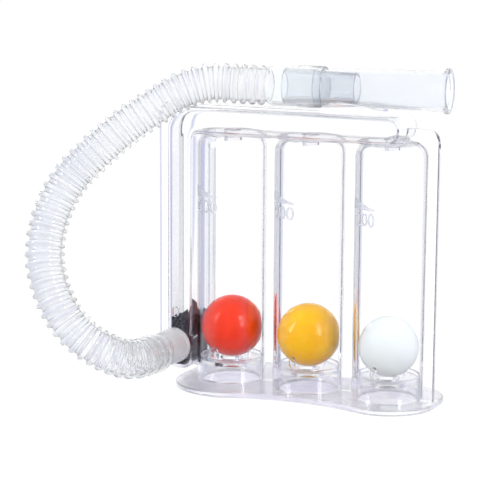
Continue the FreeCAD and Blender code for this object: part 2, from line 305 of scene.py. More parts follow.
class Nodes(Graph):
    """A material's node tree, with its output and one surface shader."""

    def __init__(self, name: str) -> None:
        """Start a material of that name."""
        self.material = bpy.data.materials.new(name)
        self.material.use_nodes = True
        super().__init__(self.material.node_tree)
        self.output = self.add("ShaderNodeOutputMaterial")
        self.shader = self.add("ShaderNodeBsdfPrincipled")
        self.link(self.shader, "BSDF", self.output, "Surface")
        self.place = self.add("ShaderNodeTexCoord")

    def link(self, source: bpy.types.Node, out: str, target: bpy.types.Node, into: str) -> None:
        """Join one node's output to another node's input."""
        self.tree.links.new(source.outputs[out], target.inputs[into])

    def noise(self, scale: float, detail: float = 2.0, roughness: float = 0.5) -> bpy.types.Node:
        """Noise over the object's own coordinates.

        Args:
            scale: Cells per metre.
            detail: Octaves of finer noise.
            roughness: Share of each finer octave.

        Returns:
            The noise node.
        """
        node = self.add("ShaderNodeTexNoise", Scale=scale, Detail=detail, Roughness=roughness)
        self.link(self.place, "Object", node, "Vector")
        return node

    def spread(self, source: bpy.types.Node, out: str, low: float, high: float) -> bpy.types.Node:
        """Map a value from 0..1 to low..high.

        Args:
            source: Node that gives the value.
            out: Name of its output.
            low: Result for 0.
            high: Result for 1.

        Returns:
            The node whose Result is mapped.
        """
        node = self.add("ShaderNodeMapRange")
        node.inputs["To Min"].default_value = low
        node.inputs["To Max"].default_value = high
        self.link(source, out, node, "Value")
        return node

    def bump(self, source: bpy.types.Node, out: str, strength: float, distance: float) -> bpy.types.Node:
        """Bump from a height, joined to the surface shader.

        Args:
            source: Node that gives the height.
            out: Name of its output.
            strength: Share of the bump, 0 to 1.
            distance: Height of a bump in metres.

        Returns:
            The bump node.
        """
        node = self.add("ShaderNodeBump", Strength=strength, Distance=distance)
        self.link(source, out, node, "Height")
        self.link(node, "Normal", self.shader, "Normal")
        return node

    def tint(self, source: bpy.types.Node, out: str, low: Colour, high: Colour) -> bpy.types.Node:
        """Colour that runs from low to high, joined to the base colour.

        Args:
            source: Node that gives the value.
            out: Name of its output.
            low: Colour up to 0.3.
            high: Colour from 0.7.

        Returns:
            The ramp node.
        """
        colour = self.ramp(source.outputs[out], ((0.3, low), (0.7, high)))
        self.put(colour, self.shader.inputs["Base Color"])
        return colour.node


@dataclass(frozen=True)
class ClearPlastic:
    """Polished clear moulding: refracts, with a faint cool cast at each surface."""

    name: str
    low: Colour = (0.975, 0.978, 0.99)
    high: Colour = (0.99, 0.991, 0.998)
    ior: float = 1.49
    roughness: float = 0.02
    ripple: float = 0.05

    def material(self) -> bpy.types.Material:
        """Build the material.

        Returns:
            The new material.
        """
        n = Nodes(self.name)
        n.shader.inputs["Transmission Weight"].default_value = 1
        n.shader.inputs["IOR"].default_value = self.ior
        flow = n.noise(55.0, 1.0)
        n.tint(flow, "Fac", self.low, self.high)
        rough = n.spread(flow, "Fac", self.roughness * 0.5, self.roughness * 1.5)
        n.link(rough, "Result", n.shader, "Roughness")
        n.bump(flow, "Fac", self.ripple, 0.001)
        return n.material


@dataclass(frozen=True)
class MilkyPlastic:
    """Soft or frosted translucent moulding, cloudy inside with a matt skin."""

    name: str
    low: Colour = (0.95, 0.958, 0.965)
    high: Colour = (0.98, 0.985, 0.987)
    clearness: float = 0.88
    roughness: float = 0.1
    ior: float = 1.38
    grain: float = 0.06

    def material(self) -> bpy.types.Material:
        """Build the material.

        Returns:
            The new material.
        """
        n = Nodes(self.name)
        cloud = n.noise(120.0, 3.0)
        n.tint(cloud, "Fac", self.low, self.high)
        n.shader.inputs["Transmission Weight"].default_value = self.clearness
        n.shader.inputs["IOR"].default_value = self.ior
        rough = n.spread(cloud, "Fac", self.roughness * 0.8, self.roughness * 1.2)
        n.link(rough, "Result", n.shader, "Roughness")
        fine = n.noise(900.0, 2.0)
        n.bump(fine, "Fac", self.grain, 0.0003)
        return n.material


@dataclass(frozen=True)
class BallPlastic:
    """Thin glossy ball, dyed in the mass, with a faint cloud and a soft sheen of moulding."""

    name: str
    low: Colour
    high: Colour
    glow: Colour
    subsurface: float = 0.06
    glow_reach: float = 0.004
    roughness: float = 0.16
    specular: float = 0.35
    coat: float = 0.08
    coat_roughness: float = 0.08

    def material(self) -> bpy.types.Material:
        """Build the material.

        Returns:
            The new material.
        """
        n = Nodes(self.name)
        cloud = n.noise(90.0, 3.0)
        n.tint(cloud, "Fac", self.low, self.high)
        n.shader.inputs["Subsurface Weight"].default_value = self.subsurface
        n.shader.inputs["Subsurface Radius"].default_value = self.glow
        n.shader.inputs["Subsurface Scale"].default_value = self.glow_reach
        n.shader.inputs["Specular IOR Level"].default_value = self.specular
        n.shader.inputs["Coat Weight"].default_value = self.coat
        n.shader.inputs["Coat Roughness"].default_value = self.coat_roughness
        rough = n.spread(cloud, "Fac", self.roughness * 0.8, self.roughness * 1.2)
        n.link(rough, "Result", n.shader, "Roughness")
        n.bump(n.noise(400.0, 2.0), "Fac", 0.03, 0.0005)
        return n.material


@dataclass(frozen=True)
class OpenFoam:
    """Charcoal open-cell foam: painted shade in the pores, threads partly own grey, partly painted highlight.
    """

    name: str
    # Near-black painted shade inside the open cells.
    pore_painted_shade: Colour = (0.003, 0.003, 0.007)
    # The threads' own grey, lightened into painted highlight specks at the cell edges.
    thread_grey_with_painted_highlight: Colour = (0.22, 0.22, 0.27)
    cells: float = 800.0
    highlight_thread_share: float = 0.06

    def material(self) -> bpy.types.Material:
        """Build the material.

        Returns:
            The new material.
        """
        n = Nodes(self.name)
        cells = n.add("ShaderNodeTexVoronoi", Scale=self.cells)
        cells.feature = "DISTANCE_TO_EDGE"
        n.link(n.place, "Object", cells, "Vector")
        # Painted highlight on the thread edges, painted shade in the pores.
        colour = n.ramp(cells.outputs["Distance"], ((0.0, self.thread_grey_with_painted_highlight), (self.highlight_thread_share, self.pore_painted_shade)))
        n.put(colour, n.shader.inputs["Base Color"])
        rough = n.spread(cells, "Distance", 0.75, 1.0)
        n.link(rough, "Result", n.shader, "Roughness")
        deep = n.spread(cells, "Distance", 1.0, 0.0)
        n.bump(deep, "Result", 0.8, 0.0006)
        return n.material


def dress(piece: bpy.types.Object, finish: object, slot: str, body: Body, *stands_for: str) -> None:
    """Give a finished piece its material and body, and hide the CAD nodes it stands for.

    Args:
        piece: The finished piece.
        finish: A finish with a material method.
        slot: Not used.
        body: The body that carries the piece.
        stands_for: CAD nodes that the piece replaces.
    """
    piece.data.materials.clear()
    piece.data.materials.append(finish.material())
    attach(piece, body.value)
    if stands_for:
        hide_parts(*stands_for)
    LOG.info("%s rides on %s", piece.name, body.value)


def smooth_copy(name: str, *nodes: str, seam_y: Optional[float] = None, lift: float = 0.0
                ) -> bpy.types.Object:
    """Copy CAD nodes into one piece with shared vertices and soft shading.

    Faces that lie wholly in the plane y = seam_y are the halves' welded faces. They are left
    out, and the merge then closes the two halves into one skin.

    Args:
        name: Name of the new piece.
        nodes: CAD nodes to copy.
        seam_y: Place of the weld plane in millimetres, or None.
        lift: Film of air in millimetres left under the piece, so that no two faces coincide.

    Returns:
        The new object.
    """
    places: List[np.ndarray] = []
    faces: List[np.ndarray] = []
    first = 0
    for node in nodes:
        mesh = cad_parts[node].data
        mesh.calc_loop_triangles()
        co = np.zeros(len(mesh.vertices) * 3, np.float32)
        mesh.vertices.foreach_get("co", co)
        corners = np.zeros(len(mesh.loop_triangles) * 3, np.int32)
        mesh.loop_triangles.foreach_get("vertices", corners)
        places.append(co.reshape(-1, 3))
        faces.append(corners.reshape(-1, 3) + first)
        first += len(mesh.vertices)
    co = np.concatenate(places)
    triangles = np.concatenate(faces)
    if seam_y is not None:
        off_seam = np.abs(co[triangles][:, :, 1] - seam_y * MM).max(1) > ON_SEAM
        triangles = triangles[off_seam]
    keys, shared = np.unique(np.round(co / WELD).astype(np.int64), axis=0, return_inverse=True)
    triangles = shared.reshape(-1)[triangles]
    proper = (triangles[:, 0] != triangles[:, 1]) & (triangles[:, 1] != triangles[:, 2])
    proper &= triangles[:, 0] != triangles[:, 2]
    mesh = bpy.data.meshes.new(name)
    mesh.from_pydata((keys * WELD + [0.0, 0.0, lift * MM]).tolist(), [], triangles[proper].tolist())
    mesh.update()
    piece = bpy.data.objects.new(name, mesh)
    bpy.context.scene.collection.objects.link(piece)
    mesh.shade_smooth()
    mesh.set_sharp_from_angle(angle=math.radians(SHARP_EDGE))
    return piece


# The clear body


@dataclass
class ClearBody:
    """Columns, duct, header, flange, pedestals and rest in clear plastic, and the frosted foot.

    Film is the air in millimetres that keeps the faces of touching clear pieces apart.
    """

    shells: ClearPlastic = ClearPlastic("clear_shells")
    foot: MilkyPlastic = MilkyPlastic(
        "frosted_foot", (0.95, 0.945, 1.0), (0.98, 0.975, 1.0), clearness=0.8, roughness=0.16, ior=1.49)
    cradle: ClearPlastic = ClearPlastic("clear_cradle", ior=1.2)
    marks: MilkyPlastic = MilkyPlastic(
        "matt_marks", (0.84, 0.85, 0.90), (0.89, 0.90, 0.94), clearness=0.6, roughness=0.2, ior=1.49)
    film: float = 0.03

    def build(self) -> None:
        """Weld the shells into one skin and dress the pedestals, the foot plate and the rest."""
        shells = smooth_copy("welded_shells", "front_shell", "rear_shell", seam_y=0.0, lift=2 * self.film)
        dress(shells, self.shells, "clear_body", Body.HOUSING, "front_shell", "rear_shell")
        foot = smooth_copy("foot_plate", "base_plate")
        dress(foot, self.foot, "clear_base", Body.HOUSING, "base_plate")
        for colour in ("red", "yellow", "white"):
            node = colour + "_pedestal"
            cup = smooth_copy(node + "_cup", node, lift=self.film)
            dress(cup, self.shells, "clear_body", Body.HOUSING, node)
        rest = smooth_copy("rest_saddle", "mouthpiece_rest", lift=3 * self.film)
        dress(rest, self.cradle, "clear_body", Body.HOUSING, "mouthpiece_rest")


@dataclass
class FlowMark:
    """Raised flow number and wedge on the front of one column."""

    digits: str
    column_x: float
    facing: float
    finish: MilkyPlastic
    column_r: float = 16.4
    height: float = 6.0
    width: float = 12.6
    middle_z: float = 84.0
    wedge_low_z: float = 88.2
    wedge_high_z: float = 92.9
    wedge_overhang: float = 1.0
    wedge_tip: float = 0.5
    wedge_steps: int = 13
    air: float = 0.14
    relief: float = 0.3

    def number(self) -> Tuple[np.ndarray, List[List[int]]]:
        """Digits as a flat slab.

        Returns:
            Corners (u, v, w), where w is 0 at the back and 1 at the front, and faces.
        """
        text = bpy.data.curves.new("digits", "FONT")
        text.body = self.digits
        text.extrude = 0.5
        text.resolution_u = 6
        holder = bpy.data.objects.new("digits", text)
        bpy.context.scene.collection.objects.link(holder)
        bpy.context.view_layer.update()
        mesh = bpy.data.meshes.new_from_object(holder.evaluated_get(bpy.context.evaluated_depsgraph_get()))
        places = np.zeros(len(mesh.vertices) * 3, np.float32)
        mesh.vertices.foreach_get("co", places)
        faces = [list(face.vertices) for face in mesh.polygons]
        bpy.data.objects.remove(holder)
        bpy.data.curves.remove(text)
        bpy.data.meshes.remove(mesh)
        places = places.reshape(-1, 3).astype(float)
        low, high = places.min(0), places.max(0)
        places = (places - (low + high) / 2) / (high - low)
        return places * [self.width, self.height, 1.0] + [0.0, self.middle_z, 0.5], faces

    def wedge(self) -> Tuple[np.ndarray, List[List[int]]]:
        """Wedge over the number: a strip that thins to the right.

        Returns:
            Corners (u, v, w), where w is 0 at the back and 1 at the front, and faces.
        """
        count = self.wedge_steps
        u = np.linspace(-self.width / 2 - self.wedge_overhang, self.width / 2, count)
        high = np.linspace(self.wedge_high_z, self.wedge_low_z + self.wedge_tip, count)
        low = np.full(count, self.wedge_low_z)
        rows = [np.stack([u, v, np.full(count, w)], 1) for v, w in ((low, 0.0), (high, 0.0), (high, 1.0),
                                                                    (low, 1.0))]
        faces = [[a * count + i, a * count + i + 1, b * count + i + 1, b * count + i]
                 for a, b in ((0, 1), (1, 2), (2, 3), (3, 0)) for i in range(count - 1)]
        faces += [[0, count, 2 * count, 3 * count], [4 * count - 1, 3 * count - 1, 2 * count - 1, count - 1]]
        return np.concatenate(rows), faces

    def build(self) -> None:
        """Wrap (u, v, w) on the column: radius R + air + relief w, angle facing + u / R, height v."""
        for name, (flat, faces) in (("number", self.number()), ("wedge", self.wedge())):
            angle = math.radians(self.facing) + flat[:, 0] / self.column_r
            r = self.column_r + self.air + self.relief * flat[:, 2]
            places = np.stack([self.column_x + r * np.cos(angle), r * np.sin(angle), flat[:, 1]], 1) * MM
            mesh = bpy.data.meshes.new(f"flow_{name}_{self.digits}")
            mesh.from_pydata(places.tolist(), [], faces)
            mesh.update()
            piece = bpy.data.objects.new(mesh.name, mesh)
            bpy.context.scene.collection.objects.link(piece)
            merged = bmesh.new()
            merged.from_mesh(mesh)
            bmesh.ops.remove_doubles(merged, verts=merged.verts, dist=WELD)
            bmesh.ops.recalc_face_normals(merged, faces=merged.faces)
            merged.to_mesh(mesh)
            merged.free()
            dress(piece, self.finish, "clear_body", Body.HOUSING)


# Balls


@dataclass
class FloatBall:
    """One hollow ball with the fine line where its halves meet, named as its CAD body."""

    body: Body
    centre: Point
    radius: float
    finish: BallPlastic
    seam_tilt: float
    wall: float = 0.8
    seam: float = 0.05
    seam_width: float = 0.02
    rows: int = 96
    around: int = 128

    def build(self) -> None:
        """Surface of radius r + seam exp(-(latitude / width)^2), with its wall inside it."""
        latitude = (np.arange(self.rows) + 0.5) / self.rows * np.pi - np.pi / 2
        outer = self.radius - self.seam + self.seam * np.exp(-((latitude / self.seam_width) ** 2))
        skin = self.sphere(latitude, outer)
        inside = self.sphere(latitude[::-1], np.full(self.rows, self.radius - self.wall))
        vertices = np.concatenate([skin, inside]) @ self.tilt() + np.array(self.centre)
        quads = np.concatenate([self.shell_quads(0), self.shell_quads(self.rows * self.around)])
        name = self.body.value
        piece = new_piece(name + "_shell", vertices, quads)
        dress(piece, self.finish, name, self.body, name)

    def sphere(self, latitude: np.ndarray, r: np.ndarray) -> np.ndarray:
        """Points r (cos v cos u, cos v sin u, sin v), ring by ring.

        Args:
            latitude: Angle v of each ring.
            r: Radius at each ring.

        Returns:
            Array (rings * around, 3).
        """
        u = np.arange(self.around) / self.around * 2 * np.pi
        flat = (r * np.cos(latitude))[:, None]
        up = np.broadcast_to((r * np.sin(latitude))[:, None], (len(latitude), len(u)))
        return np.stack([flat * np.cos(u), flat * np.sin(u), up], -1).reshape(-1, 3)

    def shell_quads(self, first: int) -> np.ndarray:
        """Rings of quads, with each pole closed by strips across its small ring.

        Args:
            first: Number of the shell's first vertex.

        Returns:
            Array (m, 4) of corner numbers.
        """
        k = np.arange(self.around // 2 - 1)
        cap = np.stack([k, k + 1, self.around - 2 - k, self.around - 1 - k], -1)
        high = cap + (self.rows - 1) * self.around
        return np.concatenate([tube_quads(self.rows, self.around), cap[:, ::-1], high]) + first

    def tilt(self) -> np.ndarray:
        """Turn about the Y axis that leans the seam."""
        c, s = math.cos(self.seam_tilt), math.sin(self.seam_tilt)
        return np.array([[c, 0, -s], [0, 1, 0], [s, 0, c]])


# The line of hose, cuffs, connector and mouthpiece


@dataclass
class TubeLine:
    """Places along the straight mouthpiece line, s millimetres from the cuff's mouth."""

    origin: Point = (13.95, 0.0, 139.4)
    yaw: float = 8.0

    def axis(self) -> np.ndarray:
        """Unit direction of the line."""
        a = math.radians(self.yaw)
        return np.array([math.cos(a), math.sin(a), 0.0])

    def at(self, s: float) -> np.ndarray:
        """Point at s."""
        return np.array(self.origin) + self.axis() * s


@dataclass
class CorrugatedHose:
    """Thin-walled hose with round rings along a smooth route."""

    finish: MilkyPlastic
    crest: float = 9.0
    root: float = 7.5
    wall: float = 0.45
    pitch: float = 4.2
    length: float = 230.9
    plain_end: float = 2.0
    ring_lift: float = 0.5
    ring_span: float = 1.35
    steps_on_ring: int = 14
    around: int = 52
    smoothing: int = 15
    side_guide: Point = (0.6, -0.75, 0.3)
    route: Tuple[Point, ...] = (
        (-54.15, -29.5, 17.4), (-54.15, -39.0, 17.4), (-57.2, -49.7, 16.7), (-64.9, -60.2, 21.6),
        (-76.9, -67.1, 31.7), (-87.4, -68.0, 46.7), (-94.3, -64.5, 64.2), (-94.9, -57.5, 81.2),
        (-90.4, -49.4, 96.8), (-81.3, -41.1, 108.4), (-71.1, -33.7, 119.5), (-59.5, -26.1, 128.7),
        (-48.6, -18.4, 136.9), (-37.4, -10.9, 140.4), (-25.17, -5.5, 139.4), (-11.3, -3.55, 139.4))

    def centreline(self) -> np.ndarray:
        """Points of the route's own NURBS spline.

        Returns:
            Array (n, 3) in millimetres.
        """
        curve = bpy.data.curves.new("route", "CURVE")
        curve.dimensions = "3D"
        spline = curve.splines.new("NURBS")
        spline.points.add(len(self.route) - 1)
        flat = np.concatenate([np.array(self.route) * MM, np.ones((len(self.route), 1))], 1)
        spline.points.foreach_set("co", flat.astype(np.float32).ravel())
        spline.order_u = 3
        spline.use_endpoint_u = True
        spline.resolution_u = 24
        holder = bpy.data.objects.new("route", curve)
        bpy.context.scene.collection.objects.link(holder)
        bpy.context.view_layer.update()
        line = bpy.data.meshes.new_from_object(holder)
        points = np.zeros(len(line.vertices) * 3, np.float32)
        line.vertices.foreach_get("co", points)
        bpy.data.objects.remove(holder)
        bpy.data.meshes.remove(line)
        bpy.data.curves.remove(curve)
        return points.reshape(-1, 3).astype(float) / MM

    def ring_radius(self, s: np.ndarray, total: float, pitch: float) -> np.ndarray:
        """Outer radius: root + depth t^2 (3 - 2 t), with t = (cos(2 pi s / pitch) + lift) / span.

        Args:
            s: Places along the hose.
            total: Its length.
            pitch: Distance from ring to ring.

        Returns:
            Radius at each place, with t kept in 0..1 and both ends plain.
        """
        t = np.clip((np.cos(2 * np.pi * s / pitch) + self.ring_lift) / self.ring_span, 0, 1)
        wave = t * t * (3 - 2 * t)
        fade = np.clip(np.minimum(s, total - s) / self.plain_end, 0, 1)
        return self.root + (self.crest - self.root) * wave * fade

    def build(self, ends: Sequence[bpy.types.Object]) -> bpy.types.Object:
        """Rings carried along the route: c(s) + r(s) (cos u n(s) + sin u b(s)), in and out.

        Args:
            ends: Not used.

        Returns:
            The hose.
        """
        line = self.centreline()
        step = np.linalg.norm(np.diff(line, axis=0), axis=1)
        run = np.concatenate([[0.0], np.cumsum(step)])
        total = float(run[-1])
        rings = int(round(total / self.pitch))
        s = np.linspace(0, total, rings * self.steps_on_ring + 1)
        centre = np.stack([np.interp(s, run, line[:, k]) for k in range(3)], 1)
        along = np.gradient(centre, s, axis=0)
        soft = np.ones(self.smoothing) / self.smoothing
        reach = self.smoothing // 2
        padded = np.pad(along, ((reach, reach), (0, 0)), "edge")
        along = np.stack([np.convolve(padded[:, k], soft, "valid") for k in range(3)], 1)
        along /= np.linalg.norm(along, axis=1, keepdims=True)
        side = np.cross(along, np.array(self.side_guide))
        side /= np.linalg.norm(side, axis=1, keepdims=True)
        over = np.cross(along, side)
        u = np.arange(self.around) / self.around * 2 * np.pi
        ring = np.cos(u)[None, :, None] * side[:, None] + np.sin(u)[None, :, None] * over[:, None]
        outer = self.ring_radius(s, total, total / rings)
        skin = centre[:, None] + outer[:, None, None] * ring
        lining = centre[:, None] + (outer - self.wall)[:, None, None] * ring
        grid = np.concatenate([skin, lining[::-1]])
        piece = new_piece("corrugated_hose", grid.reshape(-1, 3), torus_quads(len(grid), len(u)))
        face_outwards(piece)
        dress(piece, self.finish, "hose", Body.HOUSING, "hose")
        LOG.info("hose centreline %.1f mm, %d rings", total, rings)
        return piece


@dataclass
class Cuffs:
    """The hose's two smooth soft cuffs."""

    line: TubeLine
    finish: MilkyPlastic
    sleeve: MilkyPlastic
    lower_base: Point = (-54.15, -15.55, 17.4)
    lower_length: float = 13.9
    lower_bore: float = 6.05
    lower_r: float = 7.9
    bore: float = 8.08
    sleeve_r: float = 8.98
    band_r: float = 9.33
    band_length: float = 12.0
    length: float = 25.5

    def lower(self) -> bpy.types.Object:
        """Cuff on the spigot: a turned sleeve with a rounded lip and a step into the hose.

        Returns:
            The cuff.
        """
        end = self.lower_length
        section = rounded_section([
            (0.0, self.lower_bore, 0.2), (end, self.lower_bore, 0.2), (end, self.lower_r - 0.5, 0.2),
            (end - 2.0, self.lower_r - 0.5, 0.3), (end - 3.0, self.lower_r, 0.4),
            (2.4, self.lower_r, 0.3), (2.2, self.lower_r + 0.35, 0.25), (0.0, self.lower_r + 0.35, 0.3)])
        piece = turned("lower_cuff", section, np.array(self.lower_base), np.array([0.0, -1.0, 0.0]))
        dress(piece, self.finish, "hose", Body.HOUSING, "hose_cuff_lower")
        return piece

    def upper(self) -> bpy.types.Object:
        """Cuff on the connector: a turned sleeve with a thicker band at its mouth.

        Returns:
            The cuff.
        """
        start = -self.length
        band = -self.band_length
        section = rounded_section([
            (start, self.bore, 0.2), (0.0, self.bore, 0.2), (0.0, self.band_r, 0.3),
            (band, self.band_r, 0.15), (band - 0.4, self.sleeve_r, 0.15),
            (start + 1.6, self.sleeve_r, 0.5), (start, self.sleeve_r - 0.5, 0.2)])
        piece = turned("upper_cuff", section, self.line.at(0.0), self.line.axis())
        dress(piece, self.sleeve, "hose", Body.HOUSING, "hose_cuff_upper")
        return piece


@dataclass
class Connector:
    """Stepped adapter in the cuff and the mouthpiece."""

    line: TubeLine
    finish: ClearPlastic
    wide_r: float = 8.0
    narrow_r: float = 6.87
    bore: float = 5.77
    start: float = -18.18
    shoulder: float = -3.68
    end: float = 15.12

    def build(self) -> bpy.types.Object:
        """Turned section with rounded lips.

        Returns:
            The connector.
        """
        section = rounded_section([
            (self.start, self.bore, 0.25), (self.end, self.bore, 0.3), (self.end, self.narrow_r, 0.3),
            (self.shoulder, self.narrow_r, 0.15), (self.shoulder, self.wide_r, 0.3),
            (self.start, self.wide_r, 0.4)])
        piece = turned("stepped_connector", section, self.line.at(0.0), self.line.axis())
        dress(piece, self.finish, "connector", Body.CONNECTOR, "tube_connector")
        return piece


@dataclass
class Mouthpiece:
    """Tapered frosted tube with a lip."""

    line: TubeLine
    finish: MilkyPlastic
    start: float = -3.6
    end: float = 56.5
    straight: float = 18.8
    tube_r: float = 8.0
    shoulder_start: float = 0.7
    shoulder_end: float = 3.5
    shoulder_r: float = 8.5
    lip_root_r: float = 8.9
    lip_r: float = 10.0
    lip: float = 2.0
    bore: float = 6.95
    mouth_bore: float = 7.6
    mouth_length: float = 14.0

    def build(self) -> bpy.types.Object:
        """Turned section: straight, then tapered, with a round-edged lip flange.

        Returns:
            The mouthpiece.
        """
        lip = self.end - self.lip
        section = rounded_section([
            (self.start, self.bore, 0.2), (self.straight, self.bore, 0.1),
            (self.end - self.mouth_length, self.mouth_bore, 0.1), (self.end, self.mouth_bore, 0.5),
            (self.end, self.lip_r, 0.6), (lip, self.lip_r, 0.6), (lip, self.lip_root_r, 0.6),
            (self.shoulder_end, self.shoulder_r, 1.0), (self.shoulder_start, self.tube_r, 0.8),
            (self.start, self.tube_r, 0.3)])
        piece = turned("tapered_mouthpiece", section, self.line.at(0.0), self.line.axis())
        dress(piece, self.finish, "mouthpiece", Body.MOUTHPIECE, "mouthpiece")
        return piece


# Foam filter


@dataclass
class FoamFilter:
    """Foam block in the duct's foot, with soft edges and a slightly uneven skin."""

    finish: OpenFoam
    left: float = -58.75
    right: float = -49.55
    half_depth: float = 12.3
    low: float = 6.9
    top: float = 30.0
    corner: float = 3.2
    edge: float = 2.2
    uneven: float = 0.12
    around: int = 160
    edge_steps: int = 8
    cap_insets: Tuple[float, ...] = (4.4, 3.6, 2.9)
    long_wave: Point = (2.9, 2.1, 2.3)
    cross_wave: Point = (1.7, 3.1, 2.6)

    def outline(self, count: int) -> np.ndarray:
        """Rounded rectangle (x, z) sampled evenly round its middle.

        Args:
            count: Number of points.

        Returns:
            Array (count, 2).
        """
        section = rounded_section([
            (self.left, self.low, self.corner), (self.right, self.low, self.corner),
            (self.right, self.top, 0.8), (self.left, self.top, 0.8)], 10)
        closed = np.concatenate([section, section[:1]])
        run = np.concatenate([[0.0], np.cumsum(np.linalg.norm(np.diff(closed, axis=0), axis=1))])
        s = np.arange(count) / count * run[-1]
        return np.stack([np.interp(s, run, closed[:, k]) for k in range(2)], 1)

    def build(self) -> bpy.types.Object:
        """Outline drawn in by edge (1 - sin a), at depth half_depth - edge (1 - cos a), plus waves.

        Returns:
            The foam block.
        """
        count = self.around
        outline = self.outline(count)
        middle = np.array([(self.left + self.right) / 2, (self.low + self.top) / 2])
        a = np.linspace(0, np.pi / 2, self.edge_steps)
        inset = np.concatenate([self.cap_insets, self.edge * (1 - np.sin(a)),
                                self.edge * (1 - np.sin(a[::-1])), self.cap_insets[::-1]])
        flat = self.half_depth
        cap_rows = np.full(len(self.cap_insets), flat)
        depth = np.concatenate([-cap_rows, -flat + self.edge * (1 - np.cos(a)),
                                flat - self.edge * (1 - np.cos(a[::-1])), cap_rows])
        half_size = np.array([(self.right - self.left) / 2, (self.top - self.low) / 2])
        shrink = 1 - inset[:, None, None] / half_size
        ring = middle + (outline - middle)[None] * shrink
        rows = len(depth)
        y = np.repeat(depth[:, None], count, 1)
        vertices = np.stack([ring[..., 0], y, ring[..., 1]], -1).reshape(-1, 3)
        wave = np.sin(vertices * self.long_wave).sum(1) * np.sin(vertices @ self.cross_wave)
        vertices = vertices - self.uneven * 0.5 * (1 + wave / 3)[:, None] * np.sign(vertices - [
            middle[0], 0, middle[1]]) * 0.5
        k = np.arange(count // 2 - 1)
        cap = np.stack([k, k + 1, count - 2 - k, count - 1 - k], -1)
        quads = np.concatenate([tube_quads(rows, count), cap[:, ::-1], cap + (rows - 1) * count])
        piece = new_piece("foam_block", vertices, quads)
        face_outwards(piece)
        dress(piece, self.finish, "foam", Body.HOUSING, "foam_filter")
        return piece


# Room


@dataclass(frozen=True)
class SoftBox:
    """Rectangular soft lamp that faces the object, with lengths in metres."""

    name: str
    place: Point
    watts: float
    aim: Point = (0.0, 0.0, 0.06)
    width: float = 0.25
    height: float = 0.8

    def build(self) -> None:
        """Add the lamp."""
        data = bpy.data.lights.new(self.name, "AREA")
        data.shape = "RECTANGLE"
        data.size = self.width
        data.size_y = self.height
        data.energy = self.watts
        lamp = bpy.data.objects.new(self.name, data)
        lamp.location = self.place
        ray = Vector(self.aim) - Vector(self.place)
        lamp.rotation_euler = ray.to_track_quat("-Z", "Y").to_euler()
        bpy.context.scene.collection.objects.link(lamp)


